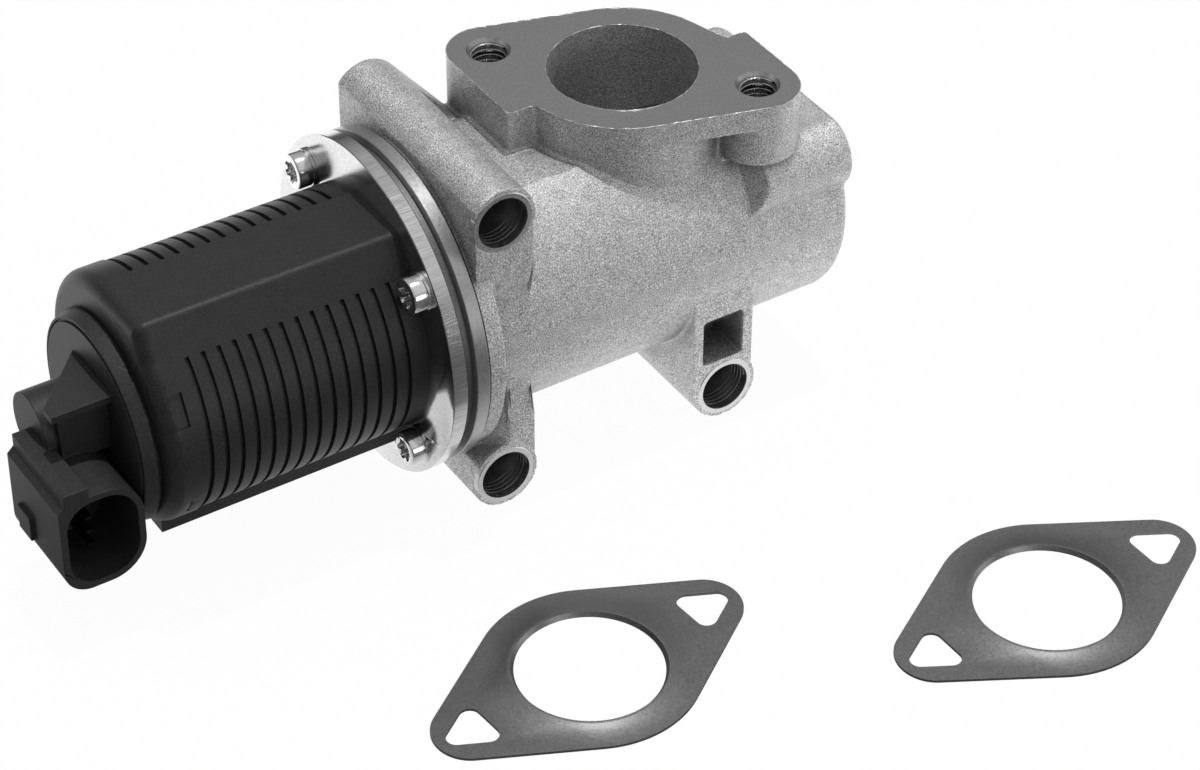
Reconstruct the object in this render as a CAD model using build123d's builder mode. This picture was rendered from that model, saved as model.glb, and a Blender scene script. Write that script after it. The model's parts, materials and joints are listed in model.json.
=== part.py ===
from build123d import *
import os
from math import cos, radians, sin, sqrt

os.makedirs("parts", exist_ok=True)

# All sizes are in millimetres. The origin is the centre of the gas inlet's mouth, +Z points out of the
# inlet, and the valve's own axis runs along X, with the motor on the -X side.

# Driving sizes: gas inlet and its flange
port_radius = 16.0
port_rise = 6.5
neck_radius = 22.6
ear_bolt_spacing = 57.4
ear_bolt_radius = 4.0
ear_bolt_depth = 15.0
ear_chamfer = 0.73
ear_radius = 8.9
ear_thickness = 5.5
left_ear_edge_y = -2.2
right_ear_edge_y = -2.5

# Driving sizes: barrel
barrel_radius = 30.0
barrel_end_x = 39.0
barrel_edge_radius = 2.4
barrel_wall = 11.0
deck_drop = 9.9
shelf_drop = 14.0
shelf_start_x = 17.0
lobe_start_x = 14.0
lobe_radius = 8.0
lobe_arc = 128.0
chamber_end_x = 24.0
chamber_dome = 3.0
flange_face_x = -54.3
flange_thickness = 4.2
flange_recess = 1.1

# Driving sizes: mounting tubes, their webs and the rear mounting flange
boss_front_recess = 0.7
boss_rear_recess = 4.5
boss_radius = 7.8
boss_mouth_radius = 5.72
boss_mouth_depth = 12.0
boss_bolt_radius = 4.4
near_boss_x = -47.2
far_boss_x = 8.2
upper_boss_gap = 2.9
lower_boss_gap = 2.5
web_edge_x = -39.8
lower_web_x = -46.2
lower_web_slope_y = -21.5
far_web_start_x = -0.1
far_web_end_x = 15.0
far_rib_width = 2.6
far_pocket_drop = 13.4
rear_flange_thickness = 9.0
outlet_x = -37.0
outlet_radius = 12.5
outlet_pad_radius = 19.5

# Driving sizes: stack of rings between the casting and the motor
gasket_thickness = 0.4
gasket_recess = 0.4
adapter_thickness = 3.0
adapter_overhang = 0.2
spacer_thickness = 2.1
spacer_recess = 1.6
spacer_slot_depth = 6.0
spacer_slot_angles = (62.0, 8.0, -22.0, 100.0, 172.0, -104.0, -158.0)
clamp_thickness = 3.3
clamp_rim = 5.1
clamp_lobe_inset = 1.6
clamp_lobe_places = ((4.0, -103.0), (2.5, 130.0))
screw_angles = (136.0, 38.3, -46.5, -134.0)
screw_radius = 2.5
screw_clearance = 0.3
screw_length = 18.0
screw_hole_room = 1.0
screw_head_radius = 3.95
screw_head_height = 3.2
screw_washer_radius = 4.25
screw_washer_height = 0.8
screw_socket_radius = 2.0
screw_socket_depth = 2.2

# Driving sizes: poppet valve and its guide
seat_wall = 6.0
seat_length = 5.0
seat_step = 1.5
disc_thickness = 3.0
disc_hub_height = 3.0
seat_bevel = 1.6
stem_radius = 3.0
stem_end_height = 1.4
stem_end_chamfer = 0.8
valve_lift = 7.0
hub_radius = 15.4
hub_end_x = -39.0
hub_floor = 3.0
pocket_radius = 12.9
nose_radius = 7.0
nose_length = 6.0
bush_radius = 5.0
seal_length = 2.0
seal_lip = 1.2
washer_thickness = 0.8
spring_mean_radius = 9.2
spring_wire_radius = 0.75
spring_turns = 4.5
retainer_thickness = 1.6
retainer_radius = 10.3
collet_radius = 5.0
collet_rise = 1.0
collet_slit = 0.6

# Driving sizes: lead screw and rotor
lead = 4.0
lead_screw_radius = 4.0
pin_radius = 1.2
pin_wall = 1.7
sleeve_radius = 7.5
sleeve_bore_radius = 4.9
nut_radius = 6.2
nut_turns = 3
air_gap = 0.68
core_slots = 8
core_slot_width = 2.4
core_slot_depth = 6.0
winding_overhang = 5.0
winding_recess = 1.9
commutator_length = 7.0
commutator_radius = 10.0
commutator_slot_width = 0.5
commutator_slot_depth = 1.0
bearing_outer_radius = 14.0
bearing_width = 5.0
bearing_cup_wall = 1.6
wave_washer_height = 0.6
race_thickness = 1.7
ball_count = 9

# Driving sizes: motor shell
can_radius = 23.7
can_wall = 1.5
can_length = 42.0
can_lip = 2.2
front_plate_thickness = 2.9
nose_tube_radius = 12.6
nose_tube_wall = 1.5
nose_slot_start = 1.2
magnet_thickness = 5.0
magnet_overhang = 2.0
magnet_count = 4
magnet_gap_angle = 12.0
brush_width = 4.0
brush_spring_room = 3.35
brush_box_wall = 0.8
brush_spring_strip = 0.5
brush_plate_thickness = 2.0

# Driving sizes: motor cover
cover_wall = 2.6
cover_end_room = 14.0
cover_band_length = 8.0
cover_band_rise = 0.3
cover_shoulder_radius = 3.2
groove_count = 14
groove_margin = 4.8
groove_width = 1.0
groove_depth = 1.0
pad_rise = 0.5
pad_back_y = 3.0
pad_ridge_y = -14.2
pad_foot_angle = 46.53
pad_start_gap = 0.1
pad_edge_radius = 2.2
pad_end_radius = 3.2
rail_half_width = 12.5
rail_rise = 1.0
window_angle = 26.0
window_length = 7.4
window_width = 2.8
window_depth = 0.9
cover_seal_width = 1.6
cover_seal_height = 1.2

# Driving sizes: end cap and plug shell
cap_drop = 3.3
cap_step = 3.6
cap_draft = 1.3
cap_height = 3.6
cap_rim = 1.1
cap_disc_rise = 0.25
cap_groove_depth = 0.5
cap_wall = 2.4
spigot_step = 6.4
spigot_length = 4.2
spigot_wall = 1.8
neck_boss_radius = 7.85
neck_boss_y = 1.5
neck_boss_drop = 1.2
neck_boss_length = 13.4
shell_width = 18.4
shell_height = 23.2
shell_front_y = -21.0
shell_back_y = 2.2
shell_top_drop = 3.6
shell_wall = 1.5
shell_depth = 17.0
shell_round = 8.4
shell_corner = 6.0
rib_width = 6.8
rib_step = 1.5
rib_step_drop = 0.6
rib_foot_drop = 2.0
rib_height = 2.4
gusset_rise = 9.5
gusset_plate = 1.8
gusset_recess = 2.4
gusset_front_y = -10.0
gusset_back_y = 7.6
gusset_tip_y = -6.5
latch_y = -5.0
latch_drop = 3.0
latch_length = 5.6
latch_width = 6.0
latch_height = 0.9
cap_seal_height = 1.2
pin_count = 5
pin_pitch = 3.4
pin_width = 1.5
pin_thickness = 0.6
pin_reach = 10.0
board_thickness = 1.6
board_gap = 1.0
sensor_size = 4.0
sensor_height = 1.4
magnet_radius = 2.6
magnet_length = 3.5

# Driving sizes: loose port gaskets lying beside the valve
port_gasket_thickness = 0.6
port_gasket_hole_radius = 15.3
port_gasket_bead_width = 2.2
port_gasket_bead_height = 0.35
port_gasket_bolt_spacing = 58.7
port_gasket_end_radius = 8.2
port_gasket_body_radius = 23.0
port_gasket_opening_radius = 8.0
port_gasket_opening_round = 2.2
port_gasket_places = ((-59.7, -81.6, 5.2), (30.4, -114.4, 1.4))

# Clearances
running_gap = 0.05
seat_gap = 0.02
assembly_gap = 0.3
stack_gap = 0.6

# Places worked out from the driving sizes: casting
port_height = barrel_radius + port_rise
axis_z = -port_height
chamber_radius = barrel_radius - barrel_wall
ear_offset = ear_bolt_spacing / 2 / sqrt(2)
ear_places = ((-ear_offset, ear_offset), (ear_offset, -ear_offset))
upper_boss_rise = barrel_radius + upper_boss_gap
lower_boss_drop = barrel_radius + lower_boss_gap
upper_boss_z = axis_z + upper_boss_rise
lower_boss_z = axis_z - lower_boss_drop
boss_places = (
    (near_boss_x, upper_boss_z),
    (near_boss_x, lower_boss_z),
    (far_boss_x, lower_boss_z),
)
boss_front_y = boss_front_recess - barrel_radius
boss_rear_y = barrel_radius - boss_rear_recess
boss_length = boss_rear_y - boss_front_y
floor_z = lower_boss_z - boss_radius
rear_flat_height = 2 * sqrt(barrel_radius**2 - boss_rear_y**2) + assembly_gap

# Places worked out: each ring's radius follows the motor can through the cover and the screw circle
cover_radius = can_radius + assembly_gap + cover_wall
screw_circle_radius = cover_radius + screw_washer_radius + assembly_gap / 2
clamp_radius = screw_circle_radius + clamp_rim
clamp_lobe_radius = clamp_radius - clamp_lobe_inset
spacer_radius = clamp_radius - spacer_recess
adapter_radius = clamp_radius + adapter_overhang
gasket_radius = adapter_radius - gasket_recess
flange_radius = adapter_radius - flange_recess
screw_places = [
    (-screw_circle_radius * cos(radians(angle)), screw_circle_radius * sin(radians(angle)))
    for angle in screw_angles
]

# Places worked out: stack from the casting's end flange to the end of the cover
adapter_face_x = flange_face_x - gasket_thickness
spacer_face_x = adapter_face_x - adapter_thickness
clamp_face_x = spacer_face_x - spacer_thickness
cover_face_x = clamp_face_x - clamp_thickness
plate_x = cover_face_x - front_plate_thickness
can_start_x = plate_x - can_length
cover_end_x = can_start_x - cover_end_room
groove_end_x = cover_face_x - groove_margin
groove_start_x = cover_end_x + cover_band_length + groove_width
groove_pitch = (groove_end_x - groove_start_x) / (groove_count - 1)

# Places worked out: valve, from the seat back to the lead screw's cross pin
seat_start_x = -chamber_radius
wide_bore_radius = chamber_radius + seat_step
seat_hole_radius = chamber_radius - seat_wall
disc_radius = seat_hole_radius + seat_bevel
disc_start_x = seat_start_x - seat_bevel + running_gap
hub_top_x = disc_start_x + disc_thickness + disc_hub_height
pocket_floor_x = hub_end_x - hub_floor
nose_end_x = hub_end_x + nose_length
seal_end_x = pocket_floor_x + seal_length
spring_fixed_x = pocket_floor_x - washer_thickness
slot_start_x = cover_face_x + nose_slot_start
pin_x = slot_start_x + pin_radius + running_gap
pin_length = 2 * (nose_tube_radius - assembly_gap)
nose_tube_end_x = pin_x + valve_lift + pin_radius + assembly_gap
screw_front_x = pin_x + pin_wall
retainer_x = screw_front_x + assembly_gap

# Places worked out: rotor, from the front bearing to the rear one
bearing_x = plate_x - wave_washer_height - bearing_width
bearing_pocket_radius = bearing_outer_radius + bearing_cup_wall
race_inner_edge = sleeve_radius + race_thickness
race_outer_edge = bearing_outer_radius - race_thickness
brush_plate_x = can_start_x - brush_plate_thickness
commutator_start_x = brush_plate_x - stack_gap
commutator_end_x = commutator_start_x + commutator_length
rear_bearing_x = commutator_start_x - stack_gap - bearing_width
sleeve_start_x = rear_bearing_x - stack_gap
sleeve_end_x = plate_x - assembly_gap
nut_length = nut_turns * lead
core_start_x = commutator_end_x + stack_gap + winding_overhang
core_end_x = bearing_x - winding_overhang - 2 * stack_gap
core_length = core_end_x - core_start_x
magnet_outer = can_radius - can_wall - seat_gap
core_radius = magnet_outer - magnet_thickness - air_gap
core_root = core_radius - core_slot_depth
winding_radius = core_radius - winding_recess

# Places worked out: end cap and plug shell
cap_back_radius = cover_radius - cap_step
cap_front_radius = cap_back_radius - cap_draft
cap_disc_radius = cap_front_radius - cap_rim
spigot_radius = cap_back_radius - spigot_step
cap_face_x = cover_end_x - cap_height
shell_right_x = cap_face_x - cap_disc_rise - seat_gap
shell_left_x = shell_right_x - shell_width
shell_centre_x = (shell_left_x + shell_right_x) / 2
shell_top_z = axis_z - shell_top_drop
shell_bottom_z = shell_top_z - shell_height
shell_centre_z = (shell_top_z + shell_bottom_z) / 2
shell_floor_y = shell_front_y + shell_depth
board_x = cap_face_x + cap_wall + board_gap

main_axis = Axis((0, 0, axis_z), (1, 0, 0))
turning_plane = Plane(origin=(0, 0, axis_z), x_dir=(1, 0, 0), z_dir=(0, -1, 0))
front_plane = Plane.XZ.offset(-boss_front_y)
rear_plane = Plane.XZ.offset(-boss_rear_y)


def cross_plane(x, drop=0.0):
    """Plane across the main axis at x, its local axes along Y and Z, its centre lower by the drop."""
    return Plane(origin=(x, 0, axis_z - drop), x_dir=(0, 1, 0), z_dir=(1, 0, 0))


def section(*outline, drop=0.0):
    """Face of a turned piece, from the closed run of its (x, radius) corners."""
    with BuildSketch(Plane(origin=(0, 0, axis_z - drop), x_dir=(1, 0, 0), z_dir=(0, -1, 0))) as face:
        with BuildLine():
            Polyline(*outline, close=True)
        make_face()
    return face.sketch


def tube_section(start_x, end_x, outer, inner=0.0, drop=0.0):
    """Face of a plain turned ring or rod."""
    return section((start_x, inner), (end_x, inner), (end_x, outer), (start_x, outer), drop=drop)


def write(piece, name):
    """Label a finished piece and write it to its own file."""
    piece.part.label = name
    export_step(piece.part, f"parts/{name}.step")


# Valve housing: barrel, deck and shelf
with BuildPart() as valve_housing:
    with BuildSketch(cross_plane(flange_face_x)):
        Circle(barrel_radius)
    extrude(amount=barrel_end_x - flange_face_x)
    fillet(valve_housing.faces().sort_by(Axis.X)[-1].edges(), barrel_edge_radius)
    with BuildSketch(Plane.XY.offset(-deck_drop)):
        with Locations((flange_face_x, 0)):
            Rectangle(shelf_start_x - flange_face_x, 2 * barrel_radius, align=(Align.MIN, Align.CENTER))
    extrude(amount=deck_drop, mode=Mode.SUBTRACT)
    with BuildSketch(Plane.XY.offset(-shelf_drop)):
        with Locations((shelf_start_x, 0)):
            Rectangle(barrel_end_x - shelf_start_x, 2 * barrel_radius, align=(Align.MIN, Align.CENTER))
    extrude(amount=shelf_drop, mode=Mode.SUBTRACT)

    # Lobe along the barrel's shoulder that carries the front ear
    lobe_top = port_height - shelf_drop
    lobe_y = lobe_radius - barrel_radius
    with BuildSketch(cross_plane(lobe_start_x)):
        with BuildLine():
            lobe_arc = CenterArc((lobe_y, lobe_top - lobe_radius), lobe_radius, 90, lobe_arc)
            Polyline(lobe_arc @ 1, (lobe_y, 0), (0, 0), (0, lobe_top), lobe_arc @ 0)
        make_face()
    extrude(amount=barrel_end_x - lobe_start_x)

    # Round end flange towards the motor
    with BuildSketch(cross_plane(flange_face_x)):
        Circle(flange_radius)
    extrude(amount=flange_thickness)

    # Neck and two-eared inlet flange
    with BuildSketch(Plane.XY):
        Circle(neck_radius)
    extrude(amount=-port_height + chamber_radius / 2)
    with BuildSketch(Plane.XY):
        Circle(neck_radius)
        with Locations(ear_places[0]):
            Circle(ear_radius)
        make_hull()
        with Locations((-ear_offset - ear_radius, left_ear_edge_y)):
            Rectangle(ear_radius + ear_offset, ear_offset - left_ear_edge_y, align=(Align.MIN, Align.MIN))
    extrude(amount=-shelf_drop)
    with BuildSketch(Plane.XY):
        Circle(neck_radius)
        with Locations(ear_places[1]):
            Circle(ear_radius)
        make_hull()
        with Locations((ear_offset + ear_radius, right_ear_edge_y)):
            Rectangle(ear_radius + ear_offset, ear_offset + right_ear_edge_y, align=(Align.MAX, Align.MAX))
    extrude(amount=-ear_thickness)
    with BuildSketch(Plane.XY):
        with Locations(ear_places[1]):
            Circle(ear_radius)
    extrude(amount=-shelf_drop - ear_chamfer)

    # Webs from the barrel to the two tubes beside the motor
    with BuildSketch(front_plane):
        with Locations((flange_face_x, axis_z)):
            Rectangle(web_edge_x - flange_face_x, upper_boss_rise, align=(Align.MIN, Align.MIN))
    extrude(amount=-boss_length)
    with BuildSketch(Plane.XY.offset(axis_z)):
        with BuildLine():
            Polyline(
                (web_edge_x, boss_front_y),
                (lower_web_x, boss_front_y),
                (flange_face_x, lower_web_slope_y),
                (flange_face_x, boss_rear_y),
                (web_edge_x, boss_rear_y),
                close=True,
            )
        make_face()
    extrude(amount=-lower_boss_drop)

    # Web to the far tube, with its pocket between two ribs
    with BuildSketch(front_plane):
        with Locations((far_web_start_x, lower_boss_z)):
            Rectangle(far_web_end_x - far_web_start_x, lower_boss_drop, align=(Align.MIN, Align.MIN))
    extrude(amount=-boss_length)
    with BuildSketch(front_plane):
        with Locations((far_web_start_x + far_rib_width, lower_boss_z + boss_radius)):
            Rectangle(
                far_web_end_x - far_web_start_x - 2 * far_rib_width,
                lower_boss_drop - boss_radius - far_pocket_drop,
                align=(Align.MIN, Align.MIN),
            )
    extrude(amount=boss_front_y, mode=Mode.SUBTRACT)
    with BuildSketch(cross_plane(far_web_start_x)):
        Circle(barrel_radius)
    extrude(amount=far_web_end_x - far_web_start_x)

    # Tubes and the rear mounting flange that joins them
    with BuildSketch(front_plane):
        with Locations(*boss_places):
            Circle(boss_radius)
    extrude(amount=-boss_length)
    with BuildSketch(rear_plane):
        with Locations(*boss_places):
            Circle(boss_radius)
        with Locations((outlet_x, axis_z)):
            Circle(outlet_pad_radius)
        make_hull()
    extrude(amount=rear_flange_thickness)
    with BuildSketch(cross_plane(flange_face_x)):
        Rectangle(4 * flange_radius, 4 * flange_radius)
    extrude(amount=-2 * boss_radius, mode=Mode.SUBTRACT)

    # Back of the barrel, machined flat with the rear mounting face
    with BuildSketch(rear_plane):
        with Locations((flange_face_x + flange_thickness, axis_z)):
            Rectangle(barrel_end_x - flange_face_x, rear_flat_height, align=(Align.MIN, Align.CENTER))
    extrude(amount=-barrel_radius, mode=Mode.SUBTRACT)

    # Gas way: inlet bore, valve chamber, wide bore for the seat ring, rear outlet
    with BuildSketch(Plane.XY):
        Circle(port_radius)
    extrude(amount=-port_height, mode=Mode.SUBTRACT)
    revolve(
        section(
            (flange_face_x, 0),
            (flange_face_x, wide_bore_radius),
            (seat_start_x, wide_bore_radius),
            (seat_start_x, chamber_radius),
            (chamber_end_x, chamber_radius),
            (chamber_end_x + chamber_dome, 0),
        ),
        axis=main_axis,
        mode=Mode.SUBTRACT,
    )
    with BuildSketch(rear_plane):
        with Locations((outlet_x, axis_z)):
            Circle(outlet_radius)
    extrude(amount=boss_rear_y, mode=Mode.SUBTRACT)

    # Bolt holes through the tubes, tapped ear holes and clamp screw holes
    with BuildSketch(front_plane):
        with Locations(*boss_places):
            Circle(boss_bolt_radius)
    extrude(amount=-boss_length, mode=Mode.SUBTRACT)
    with BuildSketch(front_plane):
        with Locations(*boss_places):
            Circle(boss_mouth_radius)
    extrude(amount=-boss_mouth_depth, mode=Mode.SUBTRACT)
    with BuildSketch(Plane.XY):
        with Locations(*ear_places):
            Circle(ear_bolt_radius)
    extrude(amount=-ear_bolt_depth, mode=Mode.SUBTRACT)
    with Locations(*[(x, y, 0) for x, y in ear_places]):
        Cone(
            ear_bolt_radius,
            ear_bolt_radius + ear_chamfer,
            ear_chamfer,
            align=(Align.CENTER, Align.CENTER, Align.MAX),
            mode=Mode.SUBTRACT,
        )
    with BuildSketch(cross_plane(flange_face_x)):
        with Locations(*screw_places):
            Circle(screw_radius + running_gap)
    extrude(amount=cover_face_x + screw_length + screw_hole_room - flange_face_x, mode=Mode.SUBTRACT)
write(valve_housing, "valve_housing")

# Valve seat ring, pressed against the shoulder in the wide bore
with BuildPart() as seat_ring:
    revolve(
        section(
            (seat_start_x - seat_length, seat_hole_radius),
            (seat_start_x - seat_bevel, seat_hole_radius),
            (seat_start_x, seat_hole_radius + seat_bevel),
            (seat_start_x, wide_bore_radius - seat_gap),
            (seat_start_x - seat_length, wide_bore_radius - seat_gap),
        ),
        axis=main_axis,
    )
write(seat_ring, "seat_ring")

# Poppet disc, coned on its edge to meet the seat, with a hub welded to the stem
with BuildPart() as valve_disc:
    revolve(
        section(
            (disc_start_x, stem_radius),
            (disc_start_x, seat_hole_radius - running_gap),
            (disc_start_x + disc_radius - seat_hole_radius, disc_radius - running_gap),
            (disc_start_x + disc_thickness, disc_radius - running_gap),
            (hub_top_x, 2 * stem_radius),
            (hub_top_x, stem_radius),
        ),
        axis=main_axis,
    )
write(valve_disc, "valve_disc")

# Valve stem, from the lead screw's end through the bush to the disc
with BuildPart() as valve_stem:
    revolve(
        section(
            (screw_front_x, 0),
            (screw_front_x, stem_radius),
            (hub_top_x + stem_end_height - stem_end_chamfer, stem_radius),
            (hub_top_x + stem_end_height, stem_radius - stem_end_chamfer),
            (hub_top_x + stem_end_height, 0),
        ),
        axis=main_axis,
    )
write(valve_stem, "valve_stem")

# Gasket between the casting and the adapter
with BuildPart() as flange_gasket:
    with BuildSketch(cross_plane(adapter_face_x)):
        Circle(gasket_radius)
        Circle(wide_bore_radius, mode=Mode.SUBTRACT)
        with Locations(*screw_places):
            Circle(screw_radius + screw_clearance, mode=Mode.SUBTRACT)
    extrude(amount=gasket_thickness)
write(flange_gasket, "flange_gasket")

# Adapter flange, turned with the spring pocket and the nose that holds the stem's bush
with BuildPart() as adapter_flange:
    revolve(
        section(
            (spacer_face_x, pocket_radius),
            (spacer_face_x, adapter_radius),
            (adapter_face_x, adapter_radius),
            (adapter_face_x, hub_radius),
            (hub_end_x, hub_radius),
            (hub_end_x, nose_radius),
            (nose_end_x, nose_radius),
            (nose_end_x, bush_radius),
            (pocket_floor_x, bush_radius),
            (pocket_floor_x, pocket_radius),
        ),
        axis=main_axis,
    )
    with BuildSketch(cross_plane(spacer_face_x)):
        with Locations(*screw_places):
            Circle(screw_radius + screw_clearance)
    extrude(amount=adapter_thickness, mode=Mode.SUBTRACT)
write(adapter_flange, "adapter_flange")

# Stem seal with a lip, then the guide bush beside it
with BuildPart() as stem_seal:
    revolve(
        section(
            (pocket_floor_x, stem_radius + seal_lip),
            (seal_end_x, stem_radius + running_gap),
            (seal_end_x, bush_radius - seat_gap),
            (pocket_floor_x, bush_radius - seat_gap),
        ),
        axis=main_axis,
    )
write(stem_seal, "stem_seal")

with BuildPart() as guide_bush:
    revolve(
        tube_section(
            seal_end_x + seat_gap,
            nose_end_x - assembly_gap,
            bush_radius - seat_gap,
            stem_radius + running_gap,
        ),
        axis=main_axis,
    )
write(guide_bush, "guide_bush")

# Washer on the pocket's floor, which keeps the seal in and carries the return spring
with BuildPart() as spring_washer:
    revolve(
        tube_section(
            spring_fixed_x,
            pocket_floor_x,
            spring_mean_radius + 2 * spring_wire_radius,
            stem_radius + assembly_gap,
        ),
        axis=main_axis,
    )
write(spring_washer, "spring_washer")

# Return spring, closed between the washer and the retainer
spring_start_x = retainer_x + retainer_thickness
spring_length = spring_fixed_x - spring_start_x - 2 * spring_wire_radius - 2 * seat_gap
with BuildPart() as return_spring:
    spring_base = Plane(
        origin=(spring_start_x + spring_wire_radius + seat_gap, 0, axis_z),
        x_dir=(0, 1, 0),
        z_dir=(1, 0, 0),
    )
    spring_path = spring_base * Helix(spring_length / spring_turns, spring_length, spring_mean_radius)
    with BuildSketch(Plane(origin=spring_path @ 0, z_dir=spring_path % 0)):
        Circle(spring_wire_radius)
    sweep(path=spring_path)
write(return_spring, "return_spring")

# Spring retainer and the split collet that locks it on the stem
with BuildPart() as spring_retainer:
    revolve(
        section(
            (retainer_x, collet_radius),
            (retainer_x, retainer_radius),
            (retainer_x + retainer_thickness, retainer_radius),
            (retainer_x + retainer_thickness, collet_radius),
        ),
        axis=main_axis,
    )
write(spring_retainer, "spring_retainer")

with BuildPart() as retainer_collet:
    revolve(
        tube_section(
            retainer_x,
            retainer_x + retainer_thickness + collet_rise,
            collet_radius - seat_gap,
            stem_radius + seat_gap,
        ),
        axis=main_axis,
    )
    with BuildSketch(cross_plane(retainer_x)):
        Rectangle(2 * collet_radius, collet_slit)
    extrude(amount=retainer_thickness + collet_rise, mode=Mode.SUBTRACT)
write(retainer_collet, "retainer_collet")

# Spacer ring with slots in its rim that let air through
with BuildPart() as slotted_spacer:
    with BuildSketch(cross_plane(spacer_face_x - spacer_thickness)):
        Circle(spacer_radius)
        Circle(nose_tube_radius + assembly_gap, mode=Mode.SUBTRACT)
        with Locations(*screw_places):
            Circle(screw_radius + screw_clearance, mode=Mode.SUBTRACT)
    extrude(amount=spacer_thickness)
    for angle in spacer_slot_angles:
        with BuildSketch(cross_plane(spacer_face_x - spacer_thickness)):
            with Locations(Location((0, 0), 180 - angle)):
                with Locations((spacer_radius - spacer_slot_depth / 3, 0)):
                    SlotOverall(spacer_slot_depth * 2, spacer_slot_depth / 2, rotation=90)
        extrude(amount=spacer_thickness, mode=Mode.SUBTRACT)
write(slotted_spacer, "slotted_spacer")

# Clamp plate, a ring that bulges below and at the upper back
with BuildPart() as clamp_plate:
    with BuildSketch(cross_plane(cover_face_x)):
        Circle(clamp_radius)
        for offset, angle in clamp_lobe_places:
            with Locations((-offset * cos(radians(angle)), offset * sin(radians(angle)))):
                Circle(clamp_lobe_radius)
        Circle(nose_tube_radius + assembly_gap, mode=Mode.SUBTRACT)
        with Locations(*screw_places):
            Circle(screw_radius + screw_clearance, mode=Mode.SUBTRACT)
    extrude(amount=clamp_thickness)
write(clamp_plate, "clamp_plate")

# Four socket screws that hold the whole stack to the casting
with BuildPart() as clamp_screws:
    with BuildSketch(cross_plane(cover_face_x)):
        with Locations(*screw_places):
            Circle(screw_radius)
    extrude(amount=screw_length)
    with BuildSketch(cross_plane(cover_face_x)):
        with Locations(*screw_places):
            Circle(screw_washer_radius)
    extrude(amount=-screw_washer_height)
    with BuildSketch(cross_plane(cover_face_x - screw_washer_height)):
        with Locations(*screw_places):
            Circle(screw_head_radius)
    extrude(amount=-screw_head_height)
    with BuildSketch(cross_plane(cover_face_x - screw_washer_height - screw_head_height)):
        with Locations(*screw_places):
            Circle(screw_socket_radius)
    extrude(amount=screw_socket_depth, mode=Mode.SUBTRACT)
write(clamp_screws, "clamp_screws")

# Front plate of the motor: closes the can, holds the front bearing, guides the cross pin in its nose
with BuildPart() as front_plate:
    revolve(
        section(
            (bearing_x, bearing_outer_radius),
            (bearing_x, bearing_pocket_radius),
            (plate_x, bearing_pocket_radius),
            (plate_x, can_radius),
            (cover_face_x, can_radius),
            (cover_face_x, nose_tube_radius),
            (nose_tube_end_x, nose_tube_radius),
            (nose_tube_end_x, nose_tube_radius - nose_tube_wall),
            (plate_x, nose_tube_radius - nose_tube_wall),
            (plate_x, bearing_outer_radius),
        ),
        axis=main_axis,
    )
    with BuildSketch(cross_plane(slot_start_x)):
        Rectangle(4 * nose_tube_radius, 2 * (pin_radius + running_gap))
        Rectangle(nose_tube_radius, 4 * pin_radius, mode=Mode.SUBTRACT)
    extrude(amount=nose_tube_end_x - slot_start_x, mode=Mode.SUBTRACT)
write(front_plate, "front_plate")

# Wave washer that loads the front bearing
with BuildPart() as wave_washer:
    revolve(
        tube_section(
            plate_x - wave_washer_height + seat_gap,
            plate_x - seat_gap,
            bearing_outer_radius - 2 * running_gap,
            race_outer_edge,
        ),
        axis=main_axis,
    )
write(wave_washer, "wave_washer")

# Motor can, a drawn steel tube with a lip at the brush end
with BuildPart() as motor_can:
    revolve(
        section(
            (can_start_x, can_radius - can_lip),
            (can_start_x, can_radius),
            (plate_x, can_radius),
            (plate_x, can_radius - can_wall),
            (can_start_x + can_wall, can_radius - can_wall),
            (can_start_x + can_wall, can_radius - can_lip),
        ),
        axis=main_axis,
    )
write(motor_can, "motor_can")

# Magnets glued inside the can
with BuildPart() as motor_magnets:
    with BuildSketch(cross_plane(core_start_x - magnet_overhang)):
        Circle(magnet_outer)
        Circle(magnet_outer - magnet_thickness, mode=Mode.SUBTRACT)
        with PolarLocations(0, magnet_count):
            with Locations((magnet_outer, 0)):
                Rectangle(
                    4 * magnet_thickness, magnet_outer * radians(magnet_gap_angle), mode=Mode.SUBTRACT
                )
    extrude(amount=core_length + 2 * magnet_overhang)
write(motor_magnets, "motor_magnets")

# Rotor sleeve, the hollow shaft that the lead screw passes through
with BuildPart() as rotor_sleeve:
    revolve(
        section(
            (sleeve_start_x, sleeve_bore_radius),
            (sleeve_end_x - nut_length, sleeve_bore_radius),
            (sleeve_end_x - nut_length, nut_radius),
            (sleeve_end_x, nut_radius),
            (sleeve_end_x, sleeve_radius),
            (sleeve_start_x, sleeve_radius),
        ),
        axis=main_axis,
    )
write(rotor_sleeve, "rotor_sleeve")

# Lead nut, pressed into the sleeve's front end
with BuildPart() as lead_nut:
    revolve(
        tube_section(
            sleeve_end_x - nut_length,
            sleeve_end_x,
            nut_radius - seat_gap,
            lead_screw_radius + running_gap,
        ),
        axis=main_axis,
    )
write(lead_nut, "lead_nut")

# Rotor core of slotted laminations, and the windings that lie in its slots
with BuildPart() as rotor_core:
    with BuildSketch(cross_plane(core_start_x)):
        Circle(core_radius)
        Circle(sleeve_radius + seat_gap, mode=Mode.SUBTRACT)
        with PolarLocations(core_root + core_slot_depth, core_slots):
            Rectangle(2 * core_slot_depth, core_slot_width, mode=Mode.SUBTRACT)
    extrude(amount=core_length)
write(rotor_core, "rotor_core")

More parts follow.
